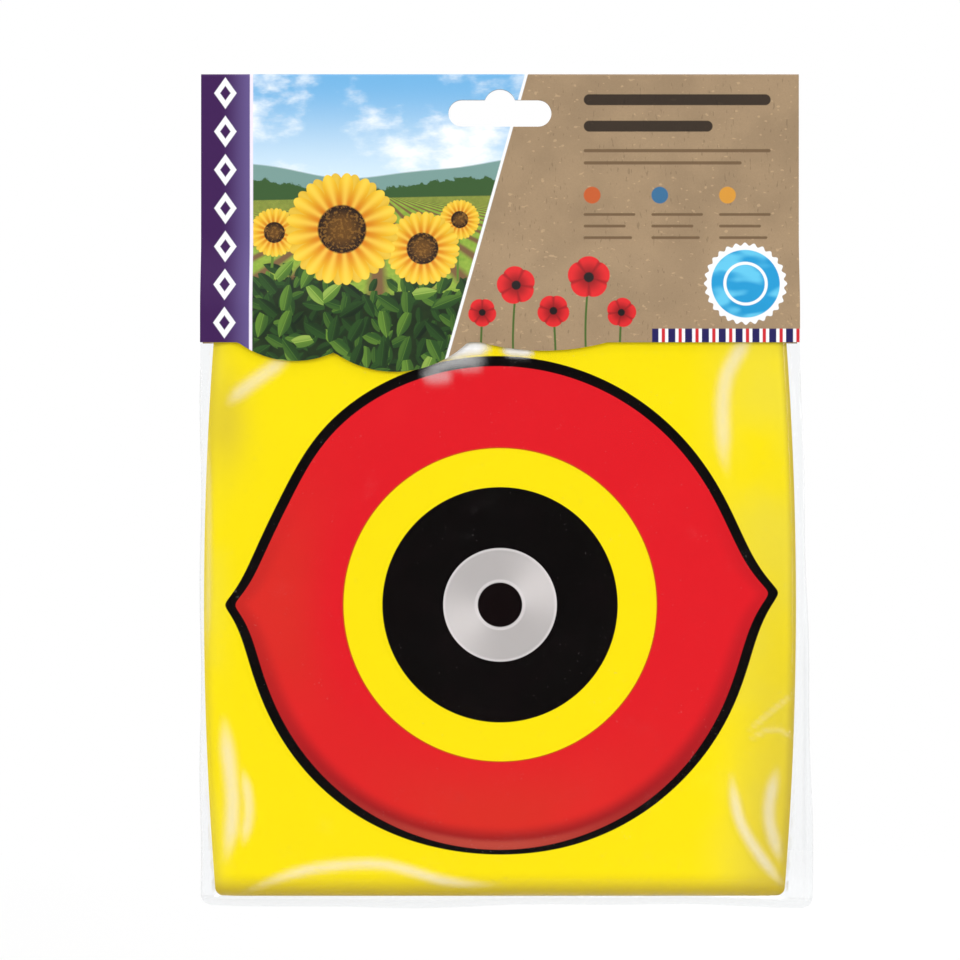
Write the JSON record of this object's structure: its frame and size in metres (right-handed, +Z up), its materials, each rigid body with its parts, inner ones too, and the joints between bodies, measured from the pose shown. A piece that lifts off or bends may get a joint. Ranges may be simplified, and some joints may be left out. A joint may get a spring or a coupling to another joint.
{
  "type": "bird scare balloon",
  "caption": "Folded, deflated scare-eye balloon in a clear bag hung from a slotted folded card, with a front leaf that lifts and a valve stopper that swings.",
  "frame": {"origin": "centre of the hanging slot, midway between the two leaves of the card", "axes": "+Z up, +Y from the printed front through the slot to the back, +X to the right seen from the front"},
  "size_m": [0.1901, 0.021, 0.2582],
  "materials": {
    "kraft_card": "uncoated brown card, printed",
    "clear_film": "clear glossy film",
    "adhesive_film": "double-sided adhesive",
    "yellow_vinyl": "satin yellow vinyl with printed eye",
    "reflective_foil": "brushed reflective foil",
    "soft_vinyl": "soft translucent white vinyl"
  },
  "bodies": {
    "pack": {"header_back": "kraft_card", "bag": "clear_film", "tape_strip": "adhesive_film", "glue_dot_left": "adhesive_film", "glue_dot_right": "adhesive_film", "pole_cap_top": "yellow_vinyl", "pole_cap_base": "yellow_vinyl", "hang_tab": "soft_vinyl", "valve_body": "soft_vinyl", "valve_flap": "soft_vinyl", "gore_1": "yellow_vinyl", "gore_2": "yellow_vinyl", "gore_3": "yellow_vinyl", "gore_4": "yellow_vinyl", "gore_5": "yellow_vinyl", "gore_6": "yellow_vinyl", "foil_disc_1": "reflective_foil", "foil_disc_2": "reflective_foil", "foil_disc_3": "reflective_foil", "foil_disc_4": "reflective_foil", "foil_disc_5": "reflective_foil", "foil_disc_6": "reflective_foil"},
    "front_leaf": {"header_front": "kraft_card"},
    "stopper": {"valve_stopper": "soft_vinyl"}
  },
  "joints": [
    {"name": "header_flap", "type": "hinge", "parent": "pack", "child": "front_leaf", "pos_m": [0, -0.001, 0.01105], "axis": [-1, 0, 0], "range_deg": [0, 150]},
    {"name": "stopper_swing", "type": "hinge", "parent": "pack", "child": "stopper", "pos_m": [0.0052, 0.01027, -0.13698], "axis": [0, 1, 0], "range_deg": [0, 150]}
  ]
}
